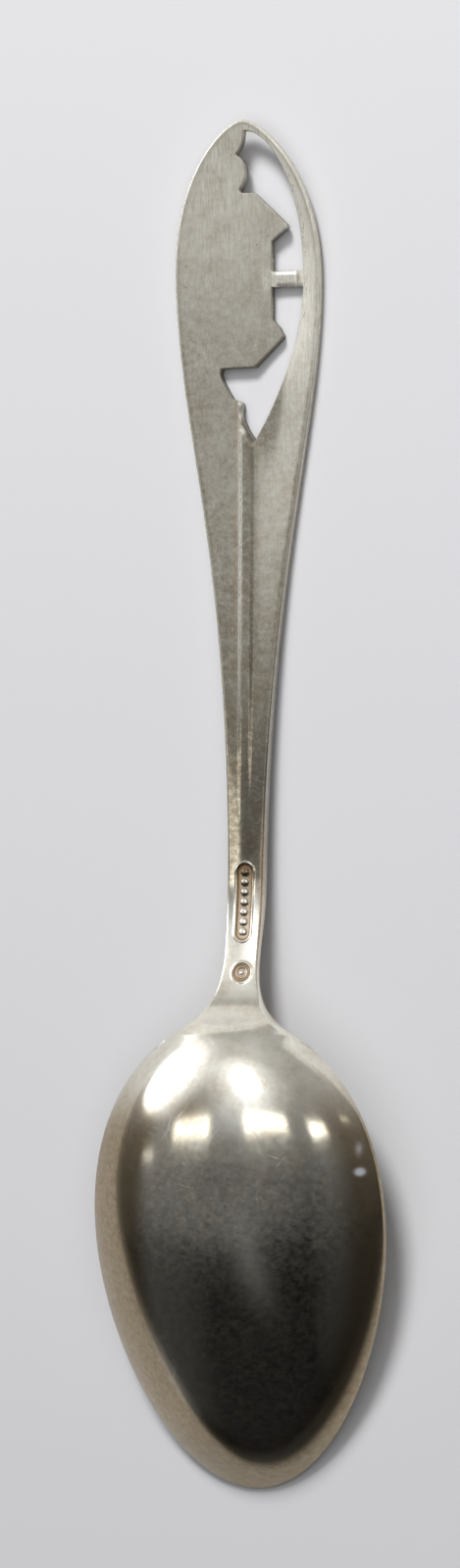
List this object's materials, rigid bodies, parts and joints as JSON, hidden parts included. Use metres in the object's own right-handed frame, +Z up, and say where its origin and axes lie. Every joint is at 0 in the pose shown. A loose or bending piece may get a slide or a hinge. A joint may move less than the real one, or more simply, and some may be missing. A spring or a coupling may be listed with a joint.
{
  "type": "souvenir spoon",
  "caption": "Silver souvenir teaspoon lying face down, with an oval bowl, a ribbed stem and a pierced terminal that shows a house and trees.",
  "frame": {"origin": "middle of the spoon's bounding box, on the table it lies on", "axes": "+Z up, out of the back of the spoon, which lies face down; +Y along the handle, from the bowl to the pierced terminal"},
  "size_m": [0.0308, 0.1396, 0.0136],
  "materials": {
    "polished_silver": "polished silver with soft scratches and grey tarnish, pale beige towards the rim",
    "bright_silver": "worn bright silver with brown tarnish in its hollows",
    "satin_silver": "satin silver with fine lengthwise scratches and mottled tarnish"
  },
  "bodies": {
    "root": {"bowl": "polished_silver", "bowl_heel": "bright_silver", "neck": "bright_silver", "stem": "satin_silver", "stem_rib": "satin_silver", "terminal_panel": "satin_silver", "terminal_bow": "bright_silver", "cupola_tie": "bright_silver"}
  },
  "joints": []
}
